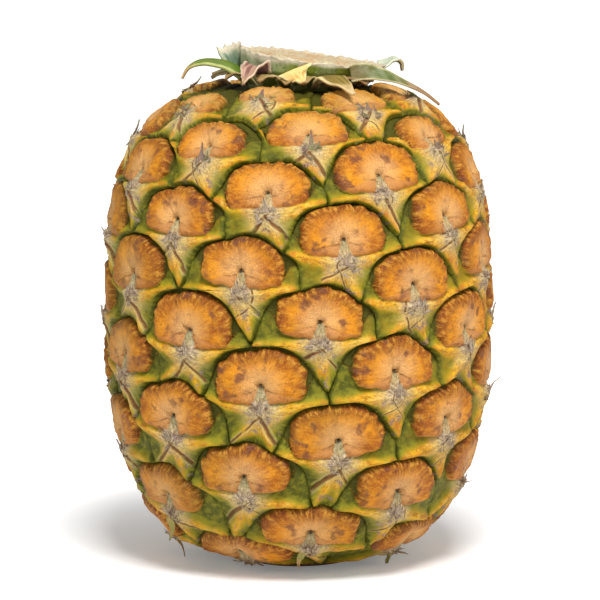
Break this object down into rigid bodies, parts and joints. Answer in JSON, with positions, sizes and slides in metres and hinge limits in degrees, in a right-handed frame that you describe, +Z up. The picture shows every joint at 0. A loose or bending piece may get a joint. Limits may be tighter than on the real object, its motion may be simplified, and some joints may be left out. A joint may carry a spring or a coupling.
{
  "type": "pineapple",
  "caption": "Whole ripe pineapple with its crown cut off, standing upright: fruitlets in spirals with orange discs, winged green and yellow bracts and dry papery tips, under a cut leafy stump.",
  "frame": {"origin": "middle of the flat base that the fruit stands on", "axes": "+Z up the fruit from its base to the cut crown, -Y towards the viewer of the picture, +X to the viewer's right"},
  "size_m": [0.1254, 0.126, 0.1597],
  "materials": {
    "fruit_skin": null,
    "leaf_base": "fleshy green leaf bases round a pale cut stem",
    "green_leaf": "stiff waxy green leaf with a grey bloom",
    "dry_leaf": "dry straw-coloured papery leaf"
  },
  "bodies": {
    "root": {"fruit_body": "fruit_skin", "crown_stump": "leaf_base", "crown_leaf_torn": "green_leaf", "crown_leaf_left": "green_leaf", "crown_leaf_right": "green_leaf", "crown_leaf_hook": "green_leaf", "dry_leaf_front": "dry_leaf", "dry_leaf_right": "dry_leaf", "dry_bract_left": "dry_leaf"}
  },
  "joints": []
}
